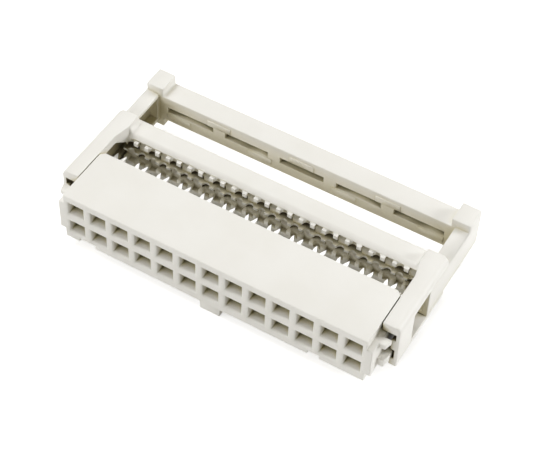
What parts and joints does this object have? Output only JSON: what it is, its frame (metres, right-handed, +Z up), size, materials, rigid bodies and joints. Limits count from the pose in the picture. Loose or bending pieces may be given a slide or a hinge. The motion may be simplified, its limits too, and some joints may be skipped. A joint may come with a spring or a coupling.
{
  "type": "insulation displacement ribbon cable socket",
  "caption": "Two-row insulation displacement socket for ribbon cable: housing with pin sockets and forked contacts, a press-on toothed cover and a sliding strain relief, stood open.",
  "frame": {"origin": "centre of the mating face, midway between the two rows of sockets", "axes": "+X along the contact rows, -Y out of the mating face, +Z up out of the broad face without the key"},
  "size_m": [0.037, 0.0199, 0.007],
  "materials": {
    "plastic": "satin moulded, pale warm grey",
    "contact": "tin plated copper alloy, semi-bright"
  },
  "bodies": {
    "housing": {"housing": "plastic", "contact_a01": "contact", "contact_a02": "contact", "contact_a03": "contact", "contact_a04": "contact", "contact_a05": "contact", "contact_a06": "contact", "contact_a07": "contact", "contact_a08": "contact", "contact_a09": "contact", "contact_a10": "contact", "contact_a11": "contact", "contact_a12": "contact", "contact_a13": "contact", "contact_b01": "contact", "contact_b02": "contact", "contact_b03": "contact", "contact_b04": "contact", "contact_b05": "contact", "contact_b06": "contact", "contact_b07": "contact", "contact_b08": "contact", "contact_b09": "contact", "contact_b10": "contact", "contact_b11": "contact", "contact_b12": "contact", "contact_b13": "contact"},
    "cover": {"cover": "plastic"},
    "strain_relief": {"strain_relief": "plastic"}
  },
  "joints": [
    {"name": "cover_slide", "type": "slide", "parent": "housing", "child": "cover", "axis": [0, -1, 0], "range_m": [0, 0.0024]},
    {"name": "strain_relief_slide", "type": "slide", "parent": "cover", "child": "strain_relief", "axis": [0, -1, 0], "range_m": [0, 0.0032]}
  ]
}
